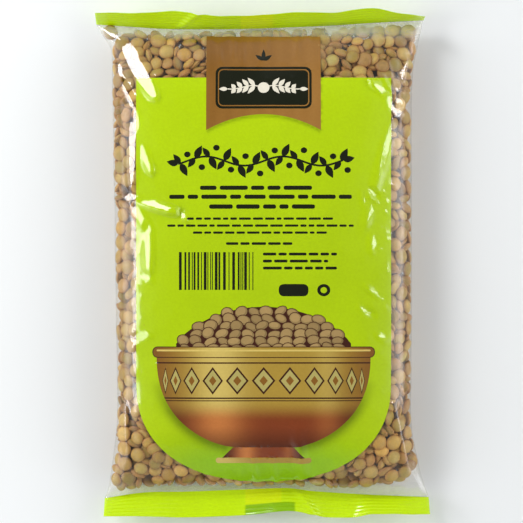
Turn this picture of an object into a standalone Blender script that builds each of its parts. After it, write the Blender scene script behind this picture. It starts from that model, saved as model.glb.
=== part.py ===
"""A sealed clear pack of dry green lentils, 500 g, lying on its back with its printed front up.

X runs across the pack, Y towards its top seal and Z up. The origin is on the resting plane, under
the middle of the pack. The film tube is filled to a pillow, and a crimped seal closes each end.
The film touches its contents everywhere, so pack and contents are one closed solid.
"""

import math

import bmesh
import bpy

MM = 0.001
NAME = "lentil_pack"

# Driving dimensions, in millimetres
SEAL_HEIGHT = 12.0
SEAL_HALF_THICKNESS = 0.5  # thicker than two films, so that the solid stays sound
CRIMP_DEPTH = 0.3
PILLOW_HEIGHT = 28.0
SIDE_HEIGHT = 12.0  # where the rounded side is widest
BASE_PRESS = 0.9  # how far the table presses the back of the pillow flat
FRONT_FULLNESS = 3.4  # a higher power is a flatter front with tighter shoulders
BACK_FULLNESS = 7.0
END_RUN = 44.0  # from a seal to where the pillow has its full height
END_POWER = 0.62
END_PRESS_LENGTH = 9.0  # over which the back leaves the table towards a seal

# Shallow lumps where the contents settled: their height, and how long their waves are along X and Y
BROAD_LUMP, BROAD_X, BROAD_Y = 0.5, 17.0, 23.0
SMALL_LUMP, SMALL_X, SMALL_Y = 0.3, 9.0, 13.0

# How finely the solid is cut
COLUMNS = 30
BODY_ROWS = 40
SEAL_ROWS = 12

# The pack's sides, seen from the front: (Y, X)
LEFT_SIDE = [
    (109.2, -76.1), (103.0, -72.5), (97.8, -69.4), (85.0, -68.8), (60.0, -68.3), (20.0, -67.6),
    (-25.0, -66.9), (-70.0, -66.4), (-88.0, -68.3), (-102.0, -70.6), (-107.9, -72.4),
]
RIGHT_SIDE = [
    (111.1, 73.8), (105.5, 72.8), (96.9, 71.0), (88.0, 69.2), (73.6, 68.2), (0.0, 68.2),
    (-50.0, 68.0), (-73.8, 67.9), (-87.0, 70.2), (-98.0, 73.0), (-107.4, 76.3),
]

# Each seal: where it meets the pillow (X, Y), and how much of its height shows from the front (X, length)
TOP_SEAL_LINE = [
    (-76.1, 109.2), (-56.0, 107.9), (-44.6, 107.2), (-8.0, 107.2), (17.1, 108.1), (33.1, 108.8),
    (49.6, 109.9), (73.8, 111.1),
]
TOP_SEAL_SHOWN = [
    (-76.1, 4.1), (-56.0, 5.7), (-39.0, 7.5), (-16.7, 5.0), (17.1, 5.7), (33.1, 5.3), (49.6, 5.9),
    (62.8, 2.7), (73.8, 0.4),
]
TOP_SEAL_LEVEL = 9.0
BOTTOM_SEAL_LINE = [
    (-72.4, -107.9), (-54.6, -105.3), (-36.3, -104.9), (-8.9, -103.9), (12.0, -103.3),
    (22.6, -104.6), (49.6, -106.3), (76.3, -107.4),
]
BOTTOM_SEAL_SHOWN = [
    (-72.4, 7.8), (-54.6, 10.5), (-36.3, 11.6), (-8.0, 11.7), (15.0, 9.9), (28.0, 11.2),
    (42.0, 10.1), (50.0, 8.2), (76.3, 7.3),
]
BOTTOM_SEAL_LEVEL = 6.5

# Folds that stand out of the front film: (X, Y) of both ends, half width and height
FOLDS = [
    ((-68.0, 99.0), (-50.0, 73.0), 3.4, 2.4),
    ((-61.0, 88.0), (-57.5, 22.0), 2.8, 1.8),
    ((-64.0, 4.0), (-34.0, -10.0), 3.0, 1.5),
    ((-59.5, 1.0), (-51.5, -34.0), 3.0, 1.5),
    ((54.0, 86.0), (63.5, 62.0), 3.2, 1.9),
    ((59.0, 64.0), (45.0, 12.0), 3.4, 1.5),
    ((-63.0, -60.0), (-60.0, -95.0), 3.2, 1.6),
    ((59.0, -62.0), (67.0, -98.0), 3.4, 1.9),
    ((20.0, -104.0), (15.0, -72.0), 4.0, 1.6),
    ((-38.0, 107.0), (-34.0, 84.0), 4.0, 1.5),
    ((36.0, 108.0), (31.0, 86.0), 4.0, 1.3),
]

# Printed front panel: its sides, its top, where its round lower end starts, and its lowest point
PANEL_LEFT, PANEL_RIGHT, PANEL_TOP = -58.0, 59.0, 85.0
PANEL_ROUND_FROM, PANEL_BOTTOM = -55.0, -100.0

# Each material slot of the pack: its place, its name, colour and roughness
CLEAR_SLOT, PANEL_SLOT, SEAL_SLOT = range(3)
FINISHES = [
    ("clear film over lentils", (0.42, 0.30, 0.14, 1.0), 0.35),
    ("printed green film", (0.47, 0.70, 0.0, 1.0), 0.3),
    ("green seal", (0.50, 0.76, 0.01, 1.0), 0.3),
]


def along(stations, place):
    """A smooth line through stations of (place, value), which may run either way."""
    points = sorted(stations)
    if place <= points[0][0]:
        return points[0][1]
    if place >= points[-1][0]:
        return points[-1][1]
    i = next(n for n in range(1, len(points)) if place <= points[n][0])
    (p0, v0), (p1, v1) = points[i - 1], points[i]
    before = points[i - 2] if i > 1 else points[i - 1]
    after = points[i + 1] if i + 1 < len(points) else points[i]
    span = p1 - p0
    slope0 = (v1 - before[1]) / (p1 - before[0])
    slope1 = (after[1] - v0) / (after[0] - p0)
    t = (place - p0) / span
    return (
        (2 * t**3 - 3 * t**2 + 1) * v0
        + (t**3 - 2 * t**2 + t) * span * slope0
        + (3 * t**2 - 2 * t**3) * v1
        + (t**3 - t**2) * span * slope1
    )


def mix(a, b, share):
    return a + (b - a) * share


def across(column):
    """-1 at the left side to 1 at the right side, closer together on the rounded sides."""
    return math.sin(math.pi * (column / COLUMNS - 0.5))


def seal_place(column, line):
    """(x, y) where a column of points reaches a seal."""
    left, right = min(line)[0], max(line)[0]
    x = mix(left, right, (1 + across(column)) / 2)
    return x, along(line, x)


def end_rise(distance):
    """0 at a seal to 1 where the pillow has its full height."""
    share = min(max(distance, 0.0) / END_RUN, 1.0)
    return math.sin(share * math.pi / 2) ** END_POWER


def fold_height(x, y):
    """How far the folds lift the front film at (x, y)."""
    total = 0.0
    for (x0, y0), (x1, y1), half_width, height in FOLDS:
        length = math.hypot(x1 - x0, y1 - y0)
        share = ((x - x0) * (x1 - x0) + (y - y0) * (y1 - y0)) / length**2
        if 0 < share < 1:
            off = ((x - x0) * (y1 - y0) - (y - y0) * (x1 - x0)) / length
            total += height * math.sin(math.pi * share) * math.exp(-((off / half_width) ** 2))
    return total


def swell(x, y):
    """Shallow lumps where the contents settled."""
    broad = BROAD_LUMP * math.sin(x / BROAD_X + 0.6) * math.sin(y / BROAD_Y)
    return broad + SMALL_LUMP * math.sin(x / SMALL_X - y / SMALL_Y)


def pillow_point(column, row, front):
    """A point on the front or the back of the pillow, row 0 at the bottom seal."""
    up = row / BODY_ROWS
    low_y = seal_place(column, BOTTOM_SEAL_LINE)[1]
    top_y = seal_place(column, TOP_SEAL_LINE)[1]
    y = mix(low_y, top_y, up)
    level_y = mix(min(LEFT_SIDE)[0], max(LEFT_SIDE)[0], up)
    s = across(column)
    x = mix(along(LEFT_SIDE, level_y), along(RIGHT_SIDE, level_y), (1 + s) / 2)
    from_low, from_top = y - low_y, top_y - y
    rise = end_rise(from_low) * end_rise(from_top)
    seal_z = mix(BOTTOM_SEAL_LEVEL, TOP_SEAL_LEVEL, up)
    middle = mix(seal_z, SIDE_HEIGHT, rise)
    if front:
        dome = (1 - abs(s) ** FRONT_FULLNESS) ** 0.5
        relief = (fold_height(x, y) + swell(x, y)) * rise * dome
        z = middle + SEAL_HALF_THICKNESS + (PILLOW_HEIGHT - SIDE_HEIGHT) * rise * dome + relief
    else:
        flat = (1 - abs(s) ** BACK_FULLNESS) ** 0.5
        press = 1 - math.exp(-min(from_low, from_top) / END_PRESS_LENGTH)
        z = middle - SEAL_HALF_THICKNESS - (middle + BASE_PRESS) * flat * press
    return x, y, max(z, 0.0)


def seal_point(column, row, front, line, shown, level, outward):
    """A point on a seal, row 0 at the pillow. A seal that shows less of its height leans up more."""
    x, y = seal_place(column, line)
    lean = math.acos(min(along(shown, x) / SEAL_HEIGHT, 1.0))
    out = SEAL_HEIGHT * row / SEAL_ROWS
    crimp = CRIMP_DEPTH * (row % 2) if 0 < row < SEAL_ROWS else 0.0
    off = (SEAL_HALF_THICKNESS if front else -SEAL_HALF_THICKNESS) + crimp
    return (
        x,
        y + outward * (out * math.cos(lean) - off * math.sin(lean)),
        level + out * math.sin(lean) + off * math.cos(lean),
    )


def ring(point_at):
    """One closed loop of points: the front from left to right, then the back from right to left."""
    front = [point_at(c, True) for c in range(COLUMNS + 1)]
    back = [point_at(c, False) for c in reversed(range(COLUMNS + 1))]
    return front + back


def all_rings():
    rings = []
    for row in range(SEAL_ROWS, 0, -1):
        rings.append(ring(lambda c, front: seal_point(
            c, row, front, BOTTOM_SEAL_LINE, BOTTOM_SEAL_SHOWN, BOTTOM_SEAL_LEVEL, -1)))
    for row in range(BODY_ROWS + 1):
        rings.append(ring(lambda c, front: pillow_point(c, row, front)))
    for row in range(1, SEAL_ROWS + 1):
        rings.append(ring(lambda c, front: seal_point(
            c, row, front, TOP_SEAL_LINE, TOP_SEAL_SHOWN, TOP_SEAL_LEVEL, 1)))
    return rings


def on_panel(x, y):
    """True on the printed front panel, whose lower end is half an ellipse."""
    if not PANEL_LEFT < x < PANEL_RIGHT or y > PANEL_TOP:
        return False
    half_width = (PANEL_RIGHT - PANEL_LEFT) / 2
    across_share = (x - PANEL_LEFT - half_width) / half_width
    down_share = max(PANEL_ROUND_FROM - y, 0.0) / (PANEL_ROUND_FROM - PANEL_BOTTOM)
    return across_share**2 + down_share**2 < 1 or y > PANEL_ROUND_FROM


def material(name, colour, roughness):
    made = bpy.data.materials.new(name)
    made.use_nodes = True
    shader = made.node_tree.nodes["Principled BSDF"]
    shader.inputs["Base Color"].default_value = colour
    shader.inputs["Roughness"].default_value = roughness
    shader.inputs["Metallic"].default_value = 0.0
    return made


def loft(rings):
    """A closed mesh through the rings, with its box centred over the origin."""
    every = [p for r in rings for p in r]
    centre_x = (min(p[0] for p in every) + max(p[0] for p in every)) / 2
    centre_y = (min(p[1] for p in every) + max(p[1] for p in every)) / 2
    bm = bmesh.new()
    loops = [
        [bm.verts.new(((x - centre_x) * MM, (y - centre_y) * MM, z * MM)) for x, y, z in r]
        for r in rings
    ]
    count = len(loops[0])
    for low, high in zip(loops, loops[1:]):
        for n in range(count):
            after = (n + 1) % count
            bm.faces.new((low[n], low[after], high[after], high[n]))
    for loop, turned in ((loops[0], False), (loops[-1], True)):
        for n in range(count // 2 - 1):
            corners = [loop[n], loop[count - 1 - n], loop[count - 2 - n], loop[n + 1]]
            bm.faces.new(corners[::-1] if turned else corners)
    return bm, centre_x, centre_y


def paint(bm, centre_x, centre_y):
    """Gives the seals, the printed panel and the clear film their material slots."""
    for face in bm.faces:
        middle = face.calc_center_median() / MM
        x, y = middle.x + centre_x, middle.y + centre_y
        front = face.normal.z > 0
        if y > along(TOP_SEAL_LINE, x) or y < along(BOTTOM_SEAL_LINE, x):
            face.material_index = SEAL_SLOT
        elif front and on_panel(x, y):
            face.material_index = PANEL_SLOT
        else:
            face.material_index = CLEAR_SLOT
        face.smooth = True


def make_pack(collection):
    bm, centre_x, centre_y = loft(all_rings())
    bmesh.ops.recalc_face_normals(bm, faces=bm.faces)
    paint(bm, centre_x, centre_y)
    bmesh.ops.triangulate(bm, faces=bm.faces)
    mesh = bpy.data.meshes.new(NAME)
    bm.to_mesh(mesh)
    bm.free()
    for name, colour, roughness in FINISHES:
        mesh.materials.append(material(name, colour, roughness))
    pack = bpy.data.objects.new(NAME, mesh)
    collection.objects.link(pack)
    return pack


def main():
    for old in list(bpy.data.objects):
        bpy.data.objects.remove(old)
    collection = bpy.data.collections.new("pack of dry green lentils")
    bpy.context.scene.collection.children.link(collection)
    make_pack(collection)


main()
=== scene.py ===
"""The looks of a sealed clear pack of dry green lentils that lies on its back.

The film's form repeats the solid's named values. Lentils are packed under the film and pushed apart
until they hardly cross, the film is drawn over them, and its front is cut along its print's outlines.
Lengths are in millimetres until a mesh is made. X runs across the pack, Y to its top seal, Z up.
"""

import math

import bpy
import numpy as np
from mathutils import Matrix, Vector, kdtree
from mathutils.geometry import delaunay_2d_cdt


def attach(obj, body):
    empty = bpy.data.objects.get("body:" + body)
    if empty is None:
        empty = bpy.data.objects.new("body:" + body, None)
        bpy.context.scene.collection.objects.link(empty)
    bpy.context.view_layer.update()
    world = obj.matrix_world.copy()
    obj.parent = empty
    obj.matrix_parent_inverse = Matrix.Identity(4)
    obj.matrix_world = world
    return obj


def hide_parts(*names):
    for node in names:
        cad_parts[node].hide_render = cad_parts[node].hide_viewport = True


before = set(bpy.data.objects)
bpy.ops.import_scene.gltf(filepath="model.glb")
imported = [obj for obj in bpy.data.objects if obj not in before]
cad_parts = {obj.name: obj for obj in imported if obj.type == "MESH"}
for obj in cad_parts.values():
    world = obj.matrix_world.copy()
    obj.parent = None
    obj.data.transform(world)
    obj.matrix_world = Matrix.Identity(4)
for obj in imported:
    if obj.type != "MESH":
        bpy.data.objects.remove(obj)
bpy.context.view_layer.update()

MM = 0.001
BODY = "root"
NODE = "lentil_pack"

# The film's form, from the same values as the solid's
SEAL_HEIGHT = 12.0
PILLOW_HEIGHT = 28.0
SIDE_HEIGHT = 12.0
BASE_PRESS = 0.9
FRONT_FULLNESS = 3.4
BACK_FULLNESS = 7.0
END_RUN = 44.0
END_POWER = 0.62
END_PRESS_LENGTH = 9.0
LEFT_SIDE = [
    (109.2, -76.1), (103.0, -72.5), (97.8, -69.4), (85.0, -68.8), (60.0, -68.3), (20.0, -67.6),
    (-25.0, -66.9), (-70.0, -66.4), (-88.0, -68.3), (-102.0, -70.6), (-107.9, -72.4),
]
RIGHT_SIDE = [
    (111.1, 73.8), (105.5, 72.8), (96.9, 71.0), (88.0, 69.2), (73.6, 68.2), (0.0, 68.2),
    (-50.0, 68.0), (-73.8, 67.9), (-87.0, 70.2), (-98.0, 73.0), (-107.4, 76.3),
]
TOP_SEAL_LINE = [
    (-76.1, 109.2), (-56.0, 107.9), (-44.6, 107.2), (-8.0, 107.2), (17.1, 108.1), (33.1, 108.8),
    (49.6, 109.9), (73.8, 111.1),
]
TOP_SEAL_SHOWN = [
    (-76.1, 4.1), (-56.0, 5.7), (-39.0, 7.5), (-16.7, 5.0), (17.1, 5.7), (33.1, 5.3), (49.6, 5.9),
    (62.8, 2.7), (73.8, 0.4),
]
TOP_SEAL_LEVEL = 9.0
BOTTOM_SEAL_LINE = [
    (-72.4, -107.9), (-54.6, -105.3), (-36.3, -104.9), (-8.9, -103.9), (12.0, -103.3),
    (22.6, -104.6), (49.6, -106.3), (76.3, -107.4),
]
BOTTOM_SEAL_SHOWN = [
    (-72.4, 7.8), (-54.6, 10.5), (-36.3, 11.6), (-8.0, 11.7), (15.0, 9.9), (28.0, 11.2),
    (42.0, 10.1), (50.0, 8.2), (76.3, 7.3),
]
BOTTOM_SEAL_LEVEL = 6.5

# The film's own detail
FILM_HALF_GAP = 0.08  # half of the two films' thickness in a seal
BACK_CLEARANCE = 0.25  # the back film's height over the table, with the lap seam under it
COLUMNS = 144  # cells across the front, and across the back
ROWS = 208  # cells from seal to seal
SIDE_SAMPLES = 600
SEAL_ROWS = 30
CRIMP_PITCH = 1.9
CRIMP_DEPTH = 0.1
CREASE_HEIGHT, CREASE_WIDTH, CREASE_LEAN = 0.9, 3.0, 0.8  # one slanting fold across each seal
SEAL_WAVES = [(0.25, 0.09), (0.14, 0.21), (0.08, 0.47)]  # height, and rate across
# Each seal: its line, how much of its height shows, its level, its way out in Y, its crease's X
SEALS = [
    (BOTTOM_SEAL_LINE, BOTTOM_SEAL_SHOWN, BOTTOM_SEAL_LEVEL, -1, 15.0),
    (TOP_SEAL_LINE, TOP_SEAL_SHOWN, TOP_SEAL_LEVEL, 1, -39.0),
]
# Sharp folds of the front film: (X, Y) of both ends, left and right flank's width, and height
FOLDS = [
    ((-66.0, 32.0), (-34.0, 21.5), 3.5, 1.2, 0.5),
    ((68.0, -94.5), (73.5, -106.5), 1.2, 0.9, 0.7),
    ((-20.5, 103.5), (-18.5, 90.0), 1.6, 1.0, 0.5),
    ((-12.0, 104.0), (-13.5, 93.0), 1.4, 1.2, 0.4),
    ((3.0, 104.0), (1.0, 95.0), 1.5, 1.0, 0.35),
    ((17.0, 104.0), (15.0, 92.0), 1.5, 1.0, 0.45),
    ((57.0, 92.0), (59.5, 78.0), 1.5, 0.8, 0.5),
    ((66.0, 94.0), (62.0, 76.0), 1.8, 1.0, 0.6),
    ((54.0, 86.0), (63.5, 62.0), 3.2, 2.0, 1.4),
    ((59.0, 64.0), (45.0, 12.0), 3.4, 3.0, 1.0),
    ((-63.0, -60.0), (-60.0, -95.0), 3.2, 2.0, 1.0),
    ((59.0, -62.0), (67.0, -98.0), 3.4, 3.0, 1.2),
    ((20.0, -104.0), (15.0, -72.0), 4.0, 4.0, 1.0),
    ((-38.0, 107.0), (-34.0, 84.0), 4.0, 4.0, 0.8),
    ((36.0, 108.0), (31.0, 86.0), 4.0, 4.0, 0.8),
]
# Flat strips where the film is taut: (X, Y) of both ends, half width, the soft box that each mirrors
# to the camera, and how far its slopes along X and Y are off that
STRIPS = [
    ((-63.0, 99.0), (-47.8, 73.5), 2.9, "upper left", (-0.001, 0.002)),
    ((-66.0, 91.0), (-63.0, 81.5), 1.5, "upper left", (0, 0)),
    ((-64.5, 82.5), (-58.0, 69.0), 1.5, "left", (0, 0)),
    ((-57.8, 70.5), (-56.6, 60.0), 1.4, "left", (0, 0)),
    ((-59.0, 64.0), (-59.4, 33.0), 2.0, "left", (0, 0)),
    ((-55.3, 54.0), (-50.0, 40.0), 1.6, "left", (0, 0)),
    ((-64.0, 30.5), (-53.5, 28.0), 1.6, "left", (0, 0)),
    ((-56.0, 28.2), (-37.5, 22.8), 1.8, "upper left", (0, 0)),
    ((-37.0, 24.0), (-34.5, 19.0), 1.3, "upper left", (0, 0)),
    ((-59.0, 26.5), (-50.5, 13.5), 1.8, "left", (0, 0)),
    ((-51.8, 18.0), (-51.6, -6.0), 2.0, "left", (0, 0)),
    ((-54.0, -4.5), (-50.0, -8.5), 1.2, "left", (0, 0)),
    ((-59.5, -33.5), (-50.5, -33.0), 1.6, "lower left", (0, 0)),
    ((66.0, 93.5), (62.8, 82.0), 1.3, "upper right", (0, 0)),
    ((49.0, 82.5), (60.0, 73.5), 1.8, "upper right", (-0.001, 0.001)),
    ((56.5, 76.5), (59.5, 68.0), 2.1, "upper right", (0.003, 0.003)),
    ((60.0, 75.5), (65.0, 71.5), 1.5, "upper right", (-0.011, -0.01)),
    ((59.5, 70.0), (64.5, 66.5), 1.8, "upper right", (0.009, 0.006)),
    ((58.6, 66.0), (54.3, 41.0), 1.1, "right", (0, 0)),
    ((48.0, 34.0), (52.0, 29.5), 1.2, "right", (0, 0)),
    ((45.0, 32.5), (47.5, 24.0), 1.2, "right", (0, 0)),
    ((50.0, 28.0), (47.0, 17.0), 1.2, "right", (0, 0)),
    ((49.6, 13.5), (49.8, 4.0), 1.2, "right", (0, 0)),
    ((47.0, -10.5), (55.0, -16.5), 1.2, "right", (0, 0)),
    ((43.5, -19.5), (50.5, -24.0), 1.2, "right", (0, 0)),
    ((51.5, -32.0), (56.5, -34.8), 1.3, "right", (0, 0)),
]
STRIP_HEIGHT = 22.0  # about how high the strips lie
STRIP_EDGE = 1.3  # over which the film turns from a strip to what lies round it
STRIP_REACH = 5.0  # how deep under the film a lentil may lie and still hold a strip up
FILM_TOP = 28.85  # the film stays under this height, inside the solid's box
PLEATS = 22  # short folds at each seal
GAP_WINDOW = 5  # cells each way from its own in which a lentil may hold the film up
GAP_DEPTH = 5.5  # how deep the middle of such a lentil may lie
OPEN_GAP = 40.0  # the gap where no lentil lies under the film
FILM_CLEARANCE = 0.12  # from the film to the lentils
FILM_LOAD = 0.003  # how far the film sinks at each step of its drape, where nothing holds it
DRAPE_STEPS = 300
FILM_STIFFNESS = 6  # rounds of smoothing that stand for the film's stiffness
SEAM_LEFT, SEAM_RIGHT = -8.0, 8.5  # the back's lap seam
SEAM_COLUMNS = 8
SEAM_HIGH, SEAM_LOW = 0.04, 0.16  # how far under the back film the seam's two faces lie

# The lentils
LENTIL_RADIUS = 3.4
LENTIL_THICKNESS = 0.42  # half thickness as a share of the radius
RADIUS_SPREAD, THICKNESS_SPREAD = 0.07, 0.07
SHELL_DEPTH = 8.5  # how far under the film whole lentils are laid
CORE_DEPTH = 6.2
SEED_SPACING, SEED_JITTER = 4.6, 0.4
RELAX_STEPS = 150
FACE_ON = 1.0  # how strongly lentils lie flat to the film
WEDGE_DEPTH, WEDGE_SPACING = 1.15, 5.4  # room that a single flat lentil near a seal needs
WEDGE_REACH, WEDGE_LEVELS = 71.0, (3.0, 16.0)  # where such lentils are tried, in X and in height
WEDGE_SIDE_MARGIN = 0.3
# How far the lentils reach towards each seal, seen from the front: (X, Y)
TOP_FILL = [
    (-74.0, 109.0), (-65.7, 108.2), (-61.0, 107.6), (-47.3, 107.0), (-34.0, 106.2), (-29.0, 106.4),
    (1.6, 106.6), (27.6, 107.6), (49.8, 108.7), (64.2, 109.3), (72.0, 108.5),
]
BOTTOM_FILL = [
    (-70.0, -106.0), (-63.0, -104.2), (-51.5, -102.6), (-33.0, -101.8), (-18.5, -102.1),
    (-10.0, -103.2), (26.0, -103.0), (35.0, -103.3), (46.0, -103.0), (54.0, -101.0),
    (62.0, -101.5), (67.4, -96.6), (72.0, -91.0),
]

# The print. Its places are as the photograph shows them, where the front stands nearer the camera
CAMERA_DISTANCE = 1200.0
CAMERA_AIM_HEIGHT = 12.0
PRINT_SCALE = 1 - (PILLOW_HEIGHT - CAMERA_AIM_HEIGHT) / CAMERA_DISTANCE
PANEL_LEFT, PANEL_RIGHT, PANEL_TOP = -58.0, 59.0, 85.0
PANEL_ROUND_FROM, PANEL_BOTTOM = -55.0, -101.0
PANEL_ROUNDNESS = 2.25
BAND_LEFT, BAND_RIGHT, BAND_TOP = -25.8, 26.7, 104.5
BAND_CORNER, BAND_ARCH = 60.8, 68.0
BAND_HALF, PRINT_MIDDLE = 26.2, 0.5
ARCH_SHADE, ARCH_SHADE_REACH = 0.42, 2.6  # how dark the panel is under the band, and how far
BOWL_SHADE, BOWL_SHADE_REACH = 0.6, 3.2  # and round the bowl
FOOT_DEEPENING = 0.7  # how far the panel's foot turns to the deeper green


def srgb(red, green, blue):
    """A screen colour, 0 to 255, as linear values."""
    values = np.array([red, green, blue]) / 255
    return np.where(values <= 0.04045, values / 12.92, ((values + 0.055) / 1.055) ** 2.4)


def along(stations, places):
    """A smooth line through stations of (place, value), read at an array of places."""
    points = np.array(sorted(stations))
    p, v = points[:, 0], points[:, 1]
    slope = np.empty_like(v)
    slope[1:-1] = (v[2:] - v[:-2]) / (p[2:] - p[:-2])
    slope[0] = (v[1] - v[0]) / (p[1] - p[0])
    slope[-1] = (v[-1] - v[-2]) / (p[-1] - p[-2])
    places = np.clip(np.asarray(places, float), p[0], p[-1])
    i = np.clip(np.searchsorted(p, places), 1, len(p) - 1)
    span = p[i] - p[i - 1]
    t = (places - p[i - 1]) / span
    return (
        (2 * t**3 - 3 * t**2 + 1) * v[i - 1]
        + (t**3 - 2 * t**2 + t) * span * slope[i - 1]
        + (3 * t**2 - 2 * t**3) * v[i]
        + (t**3 - t**2) * span * slope[i]
    )


def mix(a, b, share):
    return a + (b - a) * share


def unit(vectors):
    return vectors / np.maximum(np.linalg.norm(vectors, axis=-1, keepdims=True), 1e-9)


def tree_of(points):
    tree = kdtree.KDTree(len(points))
    for n, p in enumerate(points.tolist()):
        tree.insert(p, n)
    tree.balance()
    return tree


# The film's form
def end_rise(distance):
    """0 at a seal to 1 where the pillow has its full height."""
    share = np.clip(distance / END_RUN, 0.0, 1.0)
    return np.sin(share * math.pi / 2) ** END_POWER


def swell(x, y):
    """Shallow lumps where the contents settled."""
    return 0.5 * np.sin(x / 17.0 + 0.6) * np.sin(y / 23.0) + 0.3 * np.sin(x / 9.0 - y / 13.0)


def seal_ends(line):
    return min(line)[0], max(line)[0]


def pillow(up, s, front):
    """Points of the pillow's front or back for rows up, 0 to 1, and places across s, -1 to 1."""
    up, s = np.asarray(up)[:, None], np.asarray(s)[None, :]
    share = (1 + s) / 2
    low_y = along(BOTTOM_SEAL_LINE, mix(*seal_ends(BOTTOM_SEAL_LINE), share))
    top_y = along(TOP_SEAL_LINE, mix(*seal_ends(TOP_SEAL_LINE), share))
    y = mix(low_y, top_y, up)
    level_y = mix(*seal_ends(LEFT_SIDE), up)
    x = mix(along(LEFT_SIDE, level_y), along(RIGHT_SIDE, level_y), share)
    from_low, from_top = y - low_y, top_y - y
    rise = end_rise(from_low) * end_rise(from_top)
    middle = mix(mix(BOTTOM_SEAL_LEVEL, TOP_SEAL_LEVEL, up), SIDE_HEIGHT, rise)
    if front:
        dome = np.sqrt(np.maximum(1 - np.abs(s) ** FRONT_FULLNESS, 0.0))
        z = middle + FILM_HALF_GAP + ((PILLOW_HEIGHT - SIDE_HEIGHT) + swell(x, y)) * rise * dome
    else:
        flat = np.sqrt(np.maximum(1 - np.abs(s) ** BACK_FULLNESS, 0.0))
        press = 1 - np.exp(-np.minimum(from_low, from_top) / END_PRESS_LENGTH)
        z = middle - FILM_HALF_GAP - (middle + BASE_PRESS) * flat * press
    return np.stack([x, y, np.maximum(z, BACK_CLEARANCE)], -1)


def fine_sides():
    """Places across, closer together on the rounded sides."""
    return np.sin(np.linspace(-math.pi / 2, math.pi / 2, SIDE_SAMPLES))


def runs_across(points, count):
    """How far along its row each point lies, where a row is count cells long."""
    steps = np.linalg.norm(np.diff(points, axis=1), axis=2)
    run = np.concatenate([np.zeros((len(points), 1)), np.cumsum(steps, axis=1)], axis=1)
    return run / run[:, -1:] * count


def even_across(points, count):
    """The same rows of points, spaced evenly along each row."""
    places = np.arange(count + 1)
    return np.stack([
        np.stack([np.interp(places, run, row[:, k]) for k in range(3)], -1)
        for run, row in zip(runs_across(points, count), points)
    ])


def tube_of_film():
    """The film between its seals as rows of points round the pack: the front from left to right,
    then the back from right to left."""
    up = np.linspace(0, 1, ROWS + 1)
    front = even_across(pillow(up, fine_sides(), True), COLUMNS)
    back = even_across(pillow(up, fine_sides(), False), COLUMNS)
    return np.concatenate([front, back[:, ::-1]], axis=1)


def tube_normals(tube):
    """Unit normals of the tube's points, outward."""
    round_way = np.roll(tube, -1, axis=1) - np.roll(tube, 1, axis=1)
    up_way = np.gradient(tube, axis=0)
    return unit(np.cross(round_way, up_way))


# Packing the lentils
class Depth:
    """How deep a point lies under the film, read from a grid of samples."""

    STEP = 2.0

    def __init__(self, tube, normals):
        points, outward = tube.reshape(-1, 3)[::2], normals.reshape(-1, 3)[::2]
        tree = tree_of(points)
        self.low = points.min(0) - 2 * self.STEP
        self.count = np.ceil((points.max(0) + 2 * self.STEP - self.low) / self.STEP).astype(int) + 1
        axes = [self.low[k] + self.STEP * np.arange(self.count[k]) for k in range(3)]
        places = np.stack(np.meshgrid(*axes, indexing="ij"), -1).reshape(-1, 3)
        near = np.array([tree.find(p)[1] for p in places.tolist()])
        depth = -np.sum((places - points[near]) * outward[near], axis=1)
        grid = depth.reshape(self.count)
        slopes = np.stack(np.gradient(grid, self.STEP), -1)
        self.table = np.concatenate([grid[..., None], unit(slopes)], -1)

    def read(self, places):
        """(depth, unit direction inward) at each place."""
        at = np.clip((places - self.low) / self.STEP, 0, self.count - 1.001)
        base = at.astype(int)
        part = at - base
        total = np.zeros((len(places), 4))
        for corner in range(8):
            step = np.array([corner & 1, corner >> 1 & 1, corner >> 2 & 1])
            weight = np.prod(np.where(step, part, 1 - part), axis=1)
            cell = base + step
            total += weight[:, None] * self.table[cell[:, 0], cell[:, 1], cell[:, 2]]
        return total[:, 0], unit(total[:, 1:])


def turn_matrices(turns):
    """Rotation matrices for an array of rotation vectors."""
    angle = np.linalg.norm(turns, axis=1)
    x, y, z = (turns / np.maximum(angle, 1e-12)[:, None]).T
    zero = np.zeros_like(x)
    k = np.stack([zero, -z, y, z, zero, -x, -y, x, zero], 1).reshape(-1, 3, 3)
    sine, cosine = np.sin(angle)[:, None, None], np.cos(angle)[:, None, None]
    return np.eye(3) + sine * k + (1 - cosine) * (k @ k)


def frames_from_axes(axes, rng):
    """A rotation matrix for each axis, whose third column is the axis."""
    other = unit(np.cross(axes, rng.normal(size=axes.shape)))
    return np.stack([other, np.cross(axes, other), axes], -1)


def close_pairs(centres, owner, reach):
    """Every pair of spheres of two lentils whose centres are closer than reach."""
    cell = np.floor((centres - centres.min(0)) / reach).astype(np.int64) + 1
    size = cell.max(0) + 2
    stride = np.array([size[1] * size[2], size[2], 1])
    key = cell @ stride
    order = np.argsort(key, kind="stable")
    in_order = key[order]
    found = []
    steps = [np.array([a, b, c]) for a in (-1, 0, 1) for b in (-1, 0, 1) for c in (-1, 0, 1)]
    for step in (s for s in steps if tuple(s) >= (0, 0, 0)):
        wanted = key + step @ stride
        start = np.searchsorted(in_order, wanted, "left")
        count = np.searchsorted(in_order, wanted, "right") - start
        first = np.repeat(np.arange(len(key)), count)
        offset = np.arange(count.sum()) - np.repeat(np.cumsum(count) - count, count)
        second = order[np.repeat(start, count) + offset]
        keep = owner[first] != owner[second]
        if not step.any():
            keep &= first < second
        first, second = first[keep], second[keep]
        keep = np.sum((centres[first] - centres[second]) ** 2, axis=1) < reach**2
        found.append((first[keep], second[keep]))
    return np.concatenate([f for f, _ in found]), np.concatenate([s for _, s in found])


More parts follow.
